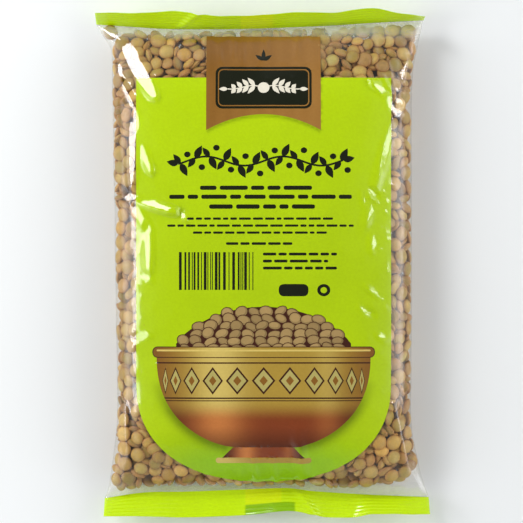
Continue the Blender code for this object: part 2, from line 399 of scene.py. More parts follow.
class Lentils:
    """Every whole lentil: its centre, radius and turn. Spheres stand in for it while it is packed."""

    RIM_SPHERES = 8
    RIM_PLACE = 0.70
    RIM_SIZE = 0.28
    LOOK_AGAIN = 10  # steps between searches for close pairs
    MARGIN = 0.7
    LARGEST_MOVE, LARGEST_TURN = 0.35, 0.12  # at one step, in millimetres and radians
    SPIN_RADIUS = 0.6  # a push at this share of the radius turns a lentil as far as it moves it
    CROWDING = 0.6  # how far many pushes at once are averaged: 0 adds them, 1 takes their mean
    DRIFT, DRIFT_UNTIL = 0.02, 0.8  # outward at each step, for this share of the steps
    LEAST_DEPTH = 0.8  # of a lentil's middle under the film, and over the table
    SIDE_MARGIN = 1.5  # from a lentil's middle to the film's sides

    def __init__(self, depth, rng):
        low, high = depth.low, depth.low + depth.STEP * depth.count
        axes = [np.arange(low[k], high[k], SEED_SPACING) for k in range(3)]
        places = np.stack(np.meshgrid(*axes, indexing="ij"), -1).reshape(-1, 3)
        places += rng.uniform(-SEED_JITTER, SEED_JITTER, places.shape) * SEED_SPACING
        deep, inward = depth.read(places)
        top = along(TOP_FILL, places[:, 0]) - LENTIL_RADIUS / 2
        bottom = along(BOTTOM_FILL, places[:, 0]) + LENTIL_RADIUS / 2
        keep = (deep > 0.9) & (deep < SHELL_DEPTH - 1.0)
        keep &= (places[:, 1] < top) & (places[:, 1] > bottom)
        self.centre = places[keep]
        count = len(self.centre)
        self.radius = LENTIL_RADIUS * (1 + RADIUS_SPREAD * rng.normal(size=count).clip(-2, 2))
        self.thick = LENTIL_THICKNESS * (1 + THICKNESS_SPREAD * rng.normal(size=count).clip(-2, 1))
        axes = unit(rng.normal(size=(count, 3)) + FACE_ON * inward[keep])
        self.turn = frames_from_axes(axes, rng)
        angles = np.arange(self.RIM_SPHERES) * 2 * math.pi / self.RIM_SPHERES
        rim = self.RIM_PLACE * np.stack([np.cos(angles), np.sin(angles), 0 * angles], -1)
        self.offsets = np.concatenate([np.zeros((1, 3)), rim])
        self.sizes = np.array([LENTIL_THICKNESS] + [self.RIM_SIZE] * self.RIM_SPHERES)

    def spheres(self):
        arms = np.einsum("nij,kj->nki", self.turn, self.offsets) * self.radius[:, None, None]
        return arms.reshape(-1, 3), (self.centre[:, None, :] + arms).reshape(-1, 3)

    def pushes(self, places, size, pairs, depth):
        """What each overlap asks of each sphere: (spheres, moves)."""
        first, second = pairs
        apart = places[second] - places[first]
        gap = np.linalg.norm(apart, axis=1)
        over = size[first] + size[second] - gap
        hit = over > 0
        push = apart[hit] * (0.5 * over[hit] / np.maximum(gap[hit], 1e-6))[:, None]
        who, moves = [first[hit], second[hit]], [-push, push]
        deep, inward = depth.read(places)
        for short, way in ((size - deep, 1.0), (deep + size - SHELL_DEPTH, -1.0)):
            out = np.nonzero(short > 0)[0]
            who.append(out)
            moves.append(way * inward[out] * short[out, None])
        for fill, way in ((TOP_FILL, -1.0), (BOTTOM_FILL, 1.0)):
            short = size - way * (places[:, 1] - along(fill, places[:, 0]))
            out = np.nonzero(short > 0)[0]
            who.append(out)
            moves.append(np.outer(way * np.minimum(short[out], 1.0), [0, 1, 0]))
        return np.concatenate(who), np.concatenate(moves)

    def relax(self, depth, steps):
        """Pushes the lentils apart, under the film and over the core, until they hardly cross."""
        count = len(self.centre)
        owner = np.repeat(np.arange(count), len(self.offsets))
        size = (self.radius[:, None] * self.sizes).ravel()
        for step in range(steps):
            arms, places = self.spheres()
            if step % self.LOOK_AGAIN == 0:
                first, second = close_pairs(places, owner, 2 * size.max() + self.MARGIN)
                near = np.linalg.norm(places[first] - places[second], axis=1)
                keep = near < size[first] + size[second] + 2 * self.MARGIN
                pairs = first[keep], second[keep]
            who, moves = self.pushes(places, size, pairs, depth)
            lentil, spin = owner[who], np.cross(arms[who], moves)
            hits = np.maximum(np.bincount(lentil, minlength=count), 1)[:, None] ** self.CROWDING
            move, turn = (
                np.stack([np.bincount(lentil, pushed[:, k], count) for k in range(3)], 1) / hits
                for pushed in (moves, spin)
            )
            turn /= (self.SPIN_RADIUS * self.radius[:, None]) ** 2
            for change, most in ((move, self.LARGEST_MOVE), (turn, self.LARGEST_TURN)):
                change *= np.minimum(1, most / np.maximum(np.linalg.norm(change, axis=1), 1e-9))[:, None]
            if step < steps * self.DRIFT_UNTIL:
                move -= self.DRIFT * depth.read(self.centre)[1]
            self.centre = self.centre + move
            self.turn = turn_matrices(turn) @ self.turn
        self.settle(depth)

    def settle(self, depth):
        """Leaves out lentils that were pushed out of the pack, and lifts those that reach under it."""
        x, y, z = self.centre.T
        kept = (depth.read(self.centre)[0] > self.LEAST_DEPTH) & (z > self.LEAST_DEPTH)
        kept &= z < PILLOW_HEIGHT
        kept &= x > along(LEFT_SIDE, y) + self.SIDE_MARGIN
        kept &= x < along(RIGHT_SIDE, y) - self.SIDE_MARGIN
        for name in ("centre", "radius", "thick", "turn"):
            setattr(self, name, getattr(self, name)[kept])
        lean = self.turn[:, 2, 2]
        reach = self.radius * np.sqrt(1 - lean**2 + (self.thick * lean) ** 2)
        self.centre[:, 2] = np.maximum(self.centre[:, 2], reach + BACK_CLEARANCE + 0.05)

    def fill_ends(self, depth, rng):
        """Lays single lentils flat in the thin wedges beside the seals, where there is room."""
        heights = np.arange(*WEDGE_LEVELS, 0.5)
        for fill, way in ((TOP_FILL, -1), (BOTTOM_FILL, 1)):
            for x in np.arange(-WEDGE_REACH, WEDGE_REACH + 1, 1.5):
                for inward in np.arange(0.9, 2.2, 0.4) * LENTIL_RADIUS:
                    y = float(along(fill, x)) + way * inward
                    room = min(x - along(LEFT_SIDE, y), along(RIGHT_SIDE, y) - x)
                    if room < LENTIL_RADIUS + WEDGE_SIDE_MARGIN:
                        continue
                    column = np.array([(x, y, z) for z in heights])
                    deep = depth.read(column)[0]
                    best = column[np.argmax(deep)]
                    near = np.linalg.norm(self.centre - best, axis=1).min()
                    if deep.max() > WEDGE_DEPTH and near > WEDGE_SPACING:
                        self.add_flat(best, rng)

    def add_flat(self, centre, rng):
        axis = unit(np.array([[0.0, 0.0, 1.0]]) + rng.normal(0, 0.08, (1, 3)))
        self.centre = np.concatenate([self.centre, centre[None]])
        self.radius = np.append(self.radius, LENTIL_RADIUS * rng.uniform(0.9, 1.0))
        self.thick = np.append(self.thick, LENTIL_THICKNESS * 0.9)
        self.turn = np.concatenate([self.turn, frames_from_axes(axis, rng)])


# The film's relief
def fold_height(x, y, folds):
    """How far the folds lift the front film. Each is a ridge with flat flanks."""
    total = np.zeros_like(x)
    for (x0, y0), (x1, y1), left_width, right_width, height in folds:
        length = math.hypot(x1 - x0, y1 - y0)
        share = ((x - x0) * (x1 - x0) + (y - y0) * (y1 - y0)) / length**2
        off = ((x - x0) * (y1 - y0) - (y - y0) * (x1 - x0)) / length * math.copysign(1, y1 - y0)
        flank = np.where(off < 0, 1 + off / left_width, 1 - off / right_width)
        ends = np.sin(math.pi * np.clip(share, 0, 1)) ** 0.6
        total += height * ends * np.maximum(flank, 0)
    return total


def pleats(rng):
    """Short folds that run from both seals into the film, in the same form as FOLDS."""
    made = []
    for line, way in ((BOTTOM_SEAL_LINE, 1), (TOP_SEAL_LINE, -1)):
        for x in np.linspace(-66, 66, PLEATS) + rng.uniform(-2.5, 2.5, PLEATS):
            y = float(along(line, x))
            run, lean = rng.uniform(6, 20), rng.normal(0, 0.25)
            start, end = (x, y - way * 3.0), (x + lean * run, y + way * run)
            widths = rng.uniform(0.9, 2.4, 2)
            made.append((start, end, widths[0], widths[1], rng.uniform(0.15, 0.7)))
    return made


def film_gap(tube, normals, lentils, depth):
    """How far below each point of the film, straight inward, the first lentil lies."""
    rows, columns = tube.shape[:2]
    points, outward = tube.reshape(-1, 3), normals.reshape(-1, 3)
    tree = tree_of(points)
    near = np.nonzero(depth.read(lentils.centre)[0] < GAP_DEPTH)[0]
    at = np.array([tree.find(p)[1] for p in lentils.centre[near].tolist()])
    steps = np.arange(-GAP_WINDOW, GAP_WINDOW + 1)
    row = (at // columns)[:, None, None] + steps[None, :, None] + 0 * steps[None, None, :]
    column = (at % columns)[:, None, None] + steps[None, None, :] + 0 * steps[None, :, None]
    who = np.broadcast_to(near[:, None, None], row.shape)
    keep = (row >= 0) & (row < rows)
    spot, who = (row * columns + column % columns)[keep], who[keep]
    flat = lentils.radius * lentils.thick
    half = np.stack([lentils.radius, lentils.radius, flat], 1)[who]
    start = np.einsum("nji,nj->ni", lentils.turn[who], points[spot] - lentils.centre[who]) / half
    course = np.einsum("nji,nj->ni", lentils.turn[who], -outward[spot]) / half
    a = np.sum(course**2, axis=1)
    b = np.sum(start * course, axis=1)
    inside = b**2 - a * (np.sum(start**2, axis=1) - 1)
    hit = inside > 0
    gap = np.full(len(points), OPEN_GAP)
    np.minimum.at(gap, spot[hit], ((-b - np.sqrt(np.maximum(inside, 0))) / a)[hit])
    return gap.reshape(rows, columns)


def mirror_slope(x, y, lamp):
    """The slopes along X and Y with which the film mirrors a soft box to the camera."""
    place = np.array([x, y, STRIP_HEIGHT])
    to_lamp = unit(np.array(SOFT_BOXES[lamp][0]) - place)
    to_camera = unit(np.array([0.0, 0.0, CAMERA_DISTANCE]) - place)
    facing = to_lamp + to_camera
    return -facing[:2] / facing[2]


def with_strips(front, lentil_tops):
    """The front film with its flat strips, each at the height of the lentils under it."""
    x, y, z = np.moveaxis(front, -1, 0)
    for (x0, y0), (x1, y1), half_width, lamp, off_mirror in STRIPS:
        slope_x, slope_y = np.round(mirror_slope((x0 + x1) / 2, (y0 + y1) / 2, lamp) + off_mirror, 3)
        length = math.hypot(x1 - x0, y1 - y0)
        run = ((x - x0) * (x1 - x0) + (y - y0) * (y1 - y0)) / length
        off = np.abs((x - x0) * (y1 - y0) - (y - y0) * (x1 - x0)) / length
        taper = np.clip(1 - np.abs(2 * run / length - 1) ** 3, 0, 1) ** 0.5
        inside = np.minimum.reduce([half_width * taper - off, run, length - run])
        slope = slope_x * (x - x0) + slope_y * (y - y0)
        under = (lentil_tops - slope)[(inside > 0) & (lentil_tops > 0)]
        if len(under) == 0:
            continue
        share = np.clip(1 + inside / STRIP_EDGE, 0, 1)
        z = mix(z, under.max() + slope, share)
    return np.stack([x, y, np.minimum(np.maximum(z, lentil_tops), FILM_TOP)], -1)


def sum_around(values):
    """The sum of each point's neighbours round the tube and, but for the end rows, along it."""
    around = np.roll(values, 1, 1) + np.roll(values, -1, 1)
    around[1:-1] += values[:-2] + values[2:]
    return around


def film_over(tube, normals, lentils, depth, rng):
    """The tube drawn over the lentils: a skin under even load that rests on them, with folds."""
    gap = film_gap(tube, normals, lentils, depth) - FILM_CLEARANCE
    sunk = np.zeros_like(gap)
    for _ in range(DRAPE_STEPS):
        sunk = np.minimum(gap, sum_around(sunk) / 4 + FILM_LOAD)
        sunk[[0, -1]] = 0
    for _ in range(FILM_STIFFNESS):
        sunk[1:-1] = (sunk[1:-1] + sum_around(sunk)[1:-1]) / 5
    sunk = np.minimum(sunk, gap)
    over = tube - sunk[..., None] * normals
    x, y = tube[:, : COLUMNS + 1, 0], tube[:, : COLUMNS + 1, 1]
    out = normals[:, : COLUMNS + 1]
    free = np.minimum(y - along(BOTTOM_SEAL_LINE, x), along(TOP_SEAL_LINE, x) - y)
    hold = np.clip(free / 3.0, 0, 1) * np.clip(out[..., 2] * 1.6, 0, 1)
    over[:, : COLUMNS + 1] += (fold_height(x, y, FOLDS + pleats(rng)) * hold)[..., None] * out
    tops = np.where(gap < STRIP_REACH, (tube - gap[..., None] * normals)[..., 2], 0.0)
    over[:, : COLUMNS + 1] = with_strips(over[:, : COLUMNS + 1], tops[:, : COLUMNS + 1])
    over[..., 2] = np.maximum(over[..., 2], BACK_CLEARANCE)
    return over


def even_shares(outward):
    """Where the tube's front columns meet a seal, as shares of its width."""
    row = pillow([0.0 if outward < 0 else 1.0], fine_sides(), True)
    x = even_across(row, COLUMNS)[0, :, 0]
    return (x - x[0]) / (x[-1] - x[0])


def seal_rows(seal, rng):
    """A crimped seal as rows of points round it, from the pillow outward. It leans up where less of
    its height shows from the front."""
    line, shown, level, outward, crease_x = seal
    x = mix(*seal_ends(line), even_shares(outward))
    y = along(line, x)
    lean = np.arccos(np.clip(along(shown, x) / SEAL_HEIGHT, 0, 1))
    starts = rng.uniform(0, 6, len(SEAL_WAVES))
    wave = sum(size * np.sin(x * rate + start) for (size, rate), start in zip(SEAL_WAVES, starts))
    rows = []
    for row in range(1, SEAL_ROWS + 1):
        out = SEAL_HEIGHT * row / SEAL_ROWS
        start = min(1.0, 4 * row / SEAL_ROWS)
        crimp = CRIMP_DEPTH * math.sin(2 * math.pi * out / CRIMP_PITCH) * start
        from_crease = np.abs(x - crease_x - CREASE_LEAN * out)
        crease = CREASE_HEIGHT * np.maximum(1 - from_crease / CREASE_WIDTH, 0)
        sheets = []
        for half in (FILM_HALF_GAP, -FILM_HALF_GAP):
            off = half + crimp + (wave + crease) * start
            sheets.append(np.stack([
                x,
                y + outward * (out * np.cos(lean) - off * np.sin(lean)),
                level + out * np.sin(lean) + off * np.cos(lean),
            ], -1))
        rows.append(np.concatenate([sheets[0], sheets[1][::-1]]))
    return rows


# The print's shapes
def box(x0, y0, x1, y1, radius=0.0, steps=4):
    """A rectangle with round corners."""
    if radius == 0:
        return np.array([(x0, y0), (x1, y0), (x1, y1), (x0, y1)])
    points = []
    corners = ((x1 - radius, y0 + radius, 270), (x1 - radius, y1 - radius, 0),
               (x0 + radius, y1 - radius, 90), (x0 + radius, y0 + radius, 180))
    for x, y, start in corners:
        for a in np.radians(np.linspace(start, start + 90, steps + 1)):
            points.append((x + radius * math.cos(a), y + radius * math.sin(a)))
    return np.array(points)


def oval(x, y, wide, high, turn=0.0, count=16):
    """An ellipse with half sizes wide and high, turned by degrees."""
    a, t = np.linspace(0, 2 * math.pi, count, endpoint=False), math.radians(turn)
    u, v = wide * np.cos(a), high * np.sin(a)
    return np.stack([x + u * math.cos(t) - v * math.sin(t), y + u * math.sin(t) + v * math.cos(t)], 1)


def leaf(x, y, length, width, turn, count=9):
    """A pointed leaf from its stalk at (x, y), turned by degrees from +X."""
    t = np.linspace(0, 1, count)
    side = width / 2 * np.sin(math.pi * t**0.8)
    upper = np.stack([length * t, side], 1)
    lower = np.stack([length * t[-2:0:-1], -side[-2:0:-1]], 1)
    points, a = np.concatenate([upper, lower]), math.radians(turn)
    return points @ np.array([[math.cos(a), math.sin(a)], [-math.sin(a), math.cos(a)]]) + (x, y)


def stroke(points, width):
    """A line of even width through points."""
    points = np.asarray(points, float)
    course = unit(np.gradient(points, axis=0))
    side = np.stack([-course[:, 1], course[:, 0]], 1) * width / 2
    return np.concatenate([points + side, (points - side)[::-1]])


def fine(outline, step=1.3):
    """The outline with its long sides cut into short ones."""
    points = []
    for a, b in zip(outline, np.roll(outline, -1, axis=0)):
        count = max(1, math.ceil(np.linalg.norm(b - a) / step))
        points += [a + (b - a) * n / count for n in range(count)]
    return np.array(points)


# The print
INK_GREEN = srgb(177, 208, 4)
INK_GREEN_DEEP = srgb(124, 186, 2)
INK_BLACK = srgb(22, 26, 10)
INK_COPPER = srgb(134, 91, 34)
INK_COPPER_LIGHT = srgb(160, 114, 54)
INK_BRASS = srgb(170, 140, 56)
INK_BRASS_LIGHT = srgb(214, 190, 104)
INK_BROWN = srgb(128, 60, 28)
INK_COPPER_BRIGHT = srgb(206, 128, 66)
INK_COPPER_DARK = srgb(128, 84, 30)
INK_DARK_BROWN = srgb(62, 30, 18)
INK_CREAM = srgb(232, 226, 206)
INK_SEED = srgb(166, 138, 88)
SEAL_GREEN = srgb(200, 238, 4)
SEAL_SEAM = srgb(214, 238, 6)
SEAL_STRIP = srgb(140, 190, 6)


def band_arch(x):
    """The height of the copper band's arched lower edge."""
    return BAND_CORNER + (BAND_ARCH - BAND_CORNER) * (1 - ((x - PRINT_MIDDLE) / BAND_HALF) ** 2)


def panel_ink(x, y):
    """Green, a little deeper under the copper band's arch, round the bowl and at the panel's foot."""
    below = band_arch(x) - y
    under = np.clip(below / ARCH_SHADE_REACH, 0, 1)
    near = (below < ARCH_SHADE_REACH) & (np.abs(x - PRINT_MIDDLE) < BAND_HALF)
    shade = ARCH_SHADE * np.exp(-((under - 0.2) ** 2) / 0.12) * near
    apart = np.full(len(x), np.inf)
    for edge_x, edge_y in bowl_strip(0.35, 1.0, 40):
        apart = np.minimum(apart, np.hypot(x - edge_x, y - edge_y))
    low = np.clip((BOWL_RIM - 8 - y) / 20, 0, 1)
    floor = BOWL_SHADE * np.exp(-((apart / BOWL_SHADE_REACH) ** 2)) * low
    foot = FOOT_DEEPENING * np.clip((BOWL_LOW + 8 - y) / 14, 0, 1) * np.exp(-((x / 48) ** 4))
    drift = 1 + 0.05 * np.sin(y / 40.0 - 0.8)
    green = mix(INK_GREEN, INK_GREEN_DEEP, foot[:, None])
    return green * (drift * (1 - shade) * (1 - floor))[:, None]


def copper_ink(x, y):
    """Copper that lightens to the right and down, with faint upright streaks."""
    share = np.clip(0.5 + x / 60 - (y - 82) / 90, 0, 1) + 0.08 * np.sin(x * 0.9 + np.sin(y / 7))
    return mix(INK_COPPER, INK_COPPER_LIGHT, share[:, None])


def metal_ink(dark, plain, light, half_width):
    """Metal round an upright axis, lit from the left."""
    def ink(x, y):
        s = np.clip((x - PRINT_MIDDLE) / half_width, -1, 1)[:, None]
        lit = np.exp(-(((s + 0.42) / 0.22) ** 2)) + 0.35 * np.exp(-(((s - 0.6) / 0.12) ** 2))
        edge = np.clip((np.abs(s) - 0.55) / 0.45, 0, 1)
        return mix(mix(plain, dark, edge), light, np.clip(lit, 0, 1) * 0.85)
    return ink


def panel_print():
    half = (PANEL_RIGHT - PANEL_LEFT) / 2
    angles = np.linspace(math.pi, 2 * math.pi, 90)
    power = 2 / PANEL_ROUNDNESS
    bend = [
        (
            PANEL_LEFT + half + half * math.copysign(abs(math.cos(a)) ** power, math.cos(a)),
            PANEL_ROUND_FROM - (PANEL_ROUND_FROM - PANEL_BOTTOM) * abs(math.sin(a)) ** power,
        )
        for a in angles
    ]
    outline = np.array(bend + [(PANEL_RIGHT, PANEL_TOP), (PANEL_LEFT, PANEL_TOP)])
    return [(outline, panel_ink)]


def sprig(x, y, reach, ink):
    """A stem that runs both ways from (x, y), with a lentil in the middle and paired leaves."""
    prints = []
    for way in (-1, 1):
        t = np.linspace(0, 1, 14)
        stem = np.stack([x + way * reach * t, y + 1.1 * np.sin(t * math.pi * 1.6) * (1 - 0.4 * t)], 1)
        prints.append((stroke(stem, 0.5), ink))
        for n, share in enumerate((0.24, 0.42, 0.6, 0.78)):
            sx, sy = x + way * reach * share, float(np.interp(share, t, stem[:, 1]))
            length = 5.0 - 0.7 * n
            for lift in (48, -48):
                turn = lift if way > 0 else 180 - lift
                prints.append((leaf(sx, sy, length, 2.0, turn), ink))
        prints.append((leaf(x + way * reach, stem[-1, 1], 4.0, 1.9, 0 if way > 0 else 180), ink))
    prints.append((oval(x, y, 2.7, 2.5), ink))
    return prints


def band_print():
    """The copper band, with a sprig on a plain dark plaque."""
    x = np.linspace(BAND_LEFT, BAND_RIGHT, 24)
    lower = np.stack([x, band_arch(x)], 1)
    prints = [
        (np.concatenate([lower, [(BAND_RIGHT, BAND_TOP), (BAND_LEFT, BAND_TOP)]]), copper_ink),
        (box(-21.5, 70.6, 22.5, 90.0, 3.0), INK_BLACK),
        (box(-20.4, 71.7, 21.4, 88.9, 2.2), copper_ink),
        (box(-19.9, 72.2, 20.9, 88.4, 1.9), INK_BLACK),
    ]
    prints += sprig(PRINT_MIDDLE, 80.3, 16.5, INK_CREAM)
    for turn, size in ((90, 5.2), (35, 4.6), (145, 4.6)):
        prints.append((leaf(PRINT_MIDDLE, 93.0, size, 1.9, turn), INK_BLACK))
    return prints


VINE_LEFT, VINE_RIGHT, VINE_MIDDLE = -43.5, 41.8, 46.6
VINE_SWING, VINE_RATE = 2.1, 5.6


def vine_height(x):
    return VINE_MIDDLE + VINE_SWING * np.sin((x - PRINT_MIDDLE) / VINE_RATE)


def vine_print():
    """A long dark vine across the panel's upper half."""
    x = np.linspace(VINE_LEFT + 5, VINE_RIGHT - 5, 60)
    prints = [(stroke(np.stack([x, vine_height(x)], 1), 0.9), INK_BLACK)]
    for n, at in enumerate(np.linspace(VINE_LEFT + 6, VINE_RIGHT - 6, 12)):
        height, up = vine_height(at), (1 if n % 2 else -1)
        prints.append((leaf(at, height, 6.6, 3.3, up * 62), INK_BLACK))
        prints.append((leaf(at, height, 5.4, 2.7, -up * 128), INK_BLACK))
        prints.append((oval(at + 3.1, height - up * 4.1, 1.5, 1.35), INK_BLACK))
    for at, turn in ((VINE_RIGHT - 5, 12), (VINE_LEFT + 5, 168)):
        prints.append((leaf(at, vine_height(at), 5.5, 3.0, turn), INK_BLACK))
    return prints


# Rows of short bars: middle Y, left and right X, bar height and mean bar length
BAR_ROWS = [
    (34.4, -28.6, 24.9, 1.9, 9.5), (30.3, -42.7, 40.9, 1.9, 9.0), (25.8, -24.4, 25.8, 2.0, 8.0),
    (20.3, -34.5, 32.2, 1.05, 4.2), (17.1, -43.6, 41.8, 1.05, 4.4), (13.9, -31.8, 30.4, 1.05, 4.0),
    (8.9, -16.7, 15.8, 1.2, 5.0),
    (4.1, 0.2, 34.0, 1.3, 6.0), (0.9, 0.2, 30.0, 1.3, 6.0), (-2.3, 0.2, 34.0, 1.3, 6.0),
]


def bar_rows_print(rng):
    """Rows of plain short bars."""
    prints = []
    for middle, left, right, height, mean in BAR_ROWS:
        x = left
        while x < right - 1.5:
            end = min(x + mean * rng.uniform(0.5, 1.5), right)
            bar = box(x, middle - height / 2, end, middle + height / 2, height * 0.42, 3)
            prints.append((bar, INK_BLACK))
            x = end + max(0.9, height * 0.75)
    return prints


def upright_bars_print(rng):
    """A block of plain upright bars, and two heavier marks beside it."""
    prints = []
    x, right, unit_width = -38.2, -3.9, 0.42
    while x < right:
        width = unit_width * rng.choice([1, 1, 2, 3])
        prints.append((box(x, -12.3, min(x + width, right), 5.0), INK_BLACK))
        x += width + unit_width * rng.choice([1, 1, 2, 2, 3])
    prints.append((box(7.4, -15.2, 21.0, -9.6, 2.2), INK_BLACK))
    prints.append((oval(28.0, -12.4, 3.0, 2.8, count=24), INK_BLACK))
    prints.append((oval(28.0, -12.4, 1.5, 1.4, count=20), panel_ink))
    return prints


BOWL_X, BOWL_RIM, BOWL_LOW, BOWL_FOOT = PRINT_MIDDLE, -41.0, -84.5, -92.0
BOWL_HALF, STEM_HALF, FOOT_HALF = 49.0, 13.0, 22.0


def bowl_half(t):
    """Half the bowl's width, from its rim at 0 to its stem at 1."""
    return STEM_HALF + (BOWL_HALF - STEM_HALF) * (1 - np.clip(t, 0, 1) ** 2.5) ** 0.62


def bowl_strip(t0, t1, count=12):
    """A strip round the bowl between two levels."""
    t = np.linspace(t0, t1, count)
    y = mix(BOWL_RIM, BOWL_LOW, t)
    left = np.stack([BOWL_X - bowl_half(t), y], 1)
    right = np.stack([BOWL_X + bowl_half(t), y], 1)
    return np.concatenate([left, right[::-1]])


def heap_print(rng):
    """The lentils heaped over the bowl's rim, in rows from the back."""
    x = np.linspace(-40.0, 40.0, 40)
    mound = BOWL_RIM + 2.0 + 19.0 * np.maximum(1 - (x / 41.0) ** 2, 0) ** 0.72
    outline = np.concatenate([np.stack([BOWL_X + x, mound], 1), [(40.5, -44.0), (-39.5, -44.0)]])
    prints = [(outline, INK_DARK_BROWN)]
    for row in range(7):
        height = BOWL_RIM + 18.6 - 3.3 * row
        risen = max((height - BOWL_RIM + 0.5) / 21.5, 0.0)
        reach = 39.0 * math.sqrt(max(1 - risen**1.6, 0.02))
        for at in np.arange(-reach, reach + 0.1, 5.9) + 2.9 * (row % 2):
            if abs(at) > 39:
                continue
            sx, sy = BOWL_X + at + rng.uniform(-0.7, 0.7), height + rng.uniform(-0.5, 0.5)
            wide, high, turn = rng.uniform(3.0, 3.5), rng.uniform(2.0, 3.0), rng.uniform(-35, 35)
            seed = INK_SEED * rng.uniform(0.8, 1.12)
            prints.append((oval(sx, sy, wide, high, turn, 14), INK_DARK_BROWN * 1.3))
            prints.append((oval(sx, sy, wide - 0.35, high - 0.35, turn, 14), seed * 0.72))
            prints.append((oval(sx - 0.25, sy + 0.3, wide - 0.95, high - 0.85, turn, 12), seed))
    return prints


def bowl_ink(x, y):
    """The bowl's metal: brass above that turns copper and dark towards its foot."""
    fall = np.clip((BOWL_RIM - y) / (BOWL_RIM - BOWL_LOW), 0, 1)[:, None]
    brass = metal_ink(INK_COPPER_DARK, INK_BRASS, INK_BRASS_LIGHT, BOWL_HALF)(x, y)
    copper = metal_ink(INK_DARK_BROWN, INK_BROWN, INK_COPPER_BRIGHT, BOWL_HALF)(x, y)
    turn = np.clip((fall - 0.5) / 0.22, 0, 1)
    low = np.clip((fall - 0.78) / 0.3, 0, 1)
    return mix(mix(brass, copper, turn * turn * (3 - 2 * turn)), INK_DARK_BROWN, low)


def bowl_print(rng):
    """A footed metal bowl heaped with lentils, seen from the side, with a plain lozenge band."""
    brass = metal_ink(INK_COPPER_DARK, INK_BRASS, INK_BRASS_LIGHT, BOWL_HALF)
    prints = heap_print(rng)
    prints.append((box(BOWL_X - FOOT_HALF, BOWL_FOOT, BOWL_X + FOOT_HALF, BOWL_FOOT + 2.6, 1.2), brass))
    base = BOWL_FOOT + 2.6
    stem = np.array([(-19.0, base), (19.0, base), (14.0, BOWL_LOW), (-14.0, BOWL_LOW)])
    stem_ink = metal_ink(INK_DARK_BROWN, INK_BROWN, INK_COPPER_BRIGHT, 19.0)
    prints.append((stem + (BOWL_X, 0), stem_ink))
    prints += [(bowl_strip(t / 20, (t + 1) / 20, 5), bowl_ink) for t in range(20)]
    for high, deep in ((0.10, 0.115), (0.47, 0.485), (0.50, 0.51)):
        prints.append((bowl_strip(high, deep, 4), INK_DARK_BROWN))
    top, low = mix(BOWL_RIM, BOWL_LOW, 0.15), mix(BOWL_RIM, BOWL_LOW, 0.44)
    middle, tall = (top + low) / 2, (top - low) / 2
    for angle in np.radians(np.arange(-75, 76, 15.0)):
        at, wide = BOWL_X + (BOWL_HALF - 2.5) * math.sin(angle), 5.4 * math.cos(angle)
        for size, ink in ((1.0, INK_DARK_BROWN), (0.8, srgb(178, 166, 96)), (0.36, INK_COPPER)):
            w, h = wide * size, tall * size
            lozenge = [(at - w, middle), (at, middle - h), (at + w, middle), (at, middle + h)]
            prints.append((np.array(lozenge), ink))
    left, right = BOWL_X - BOWL_HALF - 2.0, BOWL_X + BOWL_HALF + 2.0
    for inset, ink in ((0.0, INK_DARK_BROWN), (0.4, brass)):
        corners = (left + inset, BOWL_RIM - 2.4 + inset, right - inset, BOWL_RIM + 2.8 - inset)
        prints.append((box(*corners, 2.4 - inset), ink))
    prints.append((box(left + 2, BOWL_RIM + 0.6, right - 2, BOWL_RIM + 1.4, 0.35, 2), INK_BRASS_LIGHT))
    return prints


TOP_SEAM = (-10.0, 5.0)  # where the yellower stretch of the top seal runs in X
STRIP_RIGHT, STRIP_FROM = 15.0, 7.0  # the bottom seal's darker strip: its right end, its way out


def seal_ink(x, out, top):
    """The colour of a seal's print at X, and out from the pillow."""
    left, right = TOP_SEAM if top else (SEAM_LEFT, SEAM_RIGHT)
    seam = np.clip(np.minimum(x - left, right - x) / 0.8 + 0.5, 0, 1)
    ink = mix(SEAL_GREEN, SEAL_SEAM, seam[:, None])
    if not top:
        inside = np.minimum.reduce([x - SEAM_LEFT, STRIP_RIGHT - x, out - STRIP_FROM])
        ink = mix(ink, SEAL_STRIP, np.clip(inside / 0.5, 0, 1)[:, None])
    return ink


# Cutting the front sheet along the print
def smooth_read(grid, places):
    """Reads a grid of points at (column, row) places, on a smooth surface through its points."""
    rows, columns = grid.shape[:2]
    base = np.clip(np.floor(places).astype(int), 0, [columns - 2, rows - 2])
    t = places - base
    weights = []
    for k in range(2):
        u = t[:, k]
        weights.append(np.stack([
            -0.5 * u + u**2 - 0.5 * u**3,
            1 - 2.5 * u**2 + 1.5 * u**3,
            0.5 * u + 2 * u**2 - 1.5 * u**3,
            -0.5 * u**2 + 0.5 * u**3,
        ]))
    total = np.zeros((len(places), grid.shape[2]))
    for a in range(4):
        column = np.clip(base[:, 0] + a - 1, 0, columns - 1)
        for b in range(4):
            row = np.clip(base[:, 1] + b - 1, 0, rows - 1)
            total += (weights[0][a] * weights[1][b])[:, None] * grid[row, column]
    return total


class Sheet:
    """The front film laid flat, in cells: its columns across and its rows up."""

    def __init__(self):
        self.runs = runs_across(pillow(np.linspace(0, 1, ROWS + 1), fine_sides(), True), COLUMNS)

    def place(self, xy):
        """(column, row) of points given as (X, Y)."""
        x, y = np.asarray(xy, float).T * PRINT_SCALE
        up, share = np.full(len(x), 0.5), np.full(len(x), 0.5)
        for _ in range(12):
            level_y = mix(*seal_ends(LEFT_SIDE), up)
            left, right = along(LEFT_SIDE, level_y), along(RIGHT_SIDE, level_y)
            share = np.clip((x - left) / (right - left), 0, 1)
            low_y = along(BOTTOM_SEAL_LINE, mix(*seal_ends(BOTTOM_SEAL_LINE), share))
            top_y = along(TOP_SEAL_LINE, mix(*seal_ends(TOP_SEAL_LINE), share))
            up = np.clip((y - low_y) / (top_y - low_y), 0, 1)
        sample = (np.arcsin(2 * share - 1) / math.pi + 0.5) * (SIDE_SAMPLES - 1)
        column = smooth_read(self.runs[..., None], np.stack([sample, up * ROWS], 1))[:, 0]
        return np.stack([column, up * ROWS], 1)


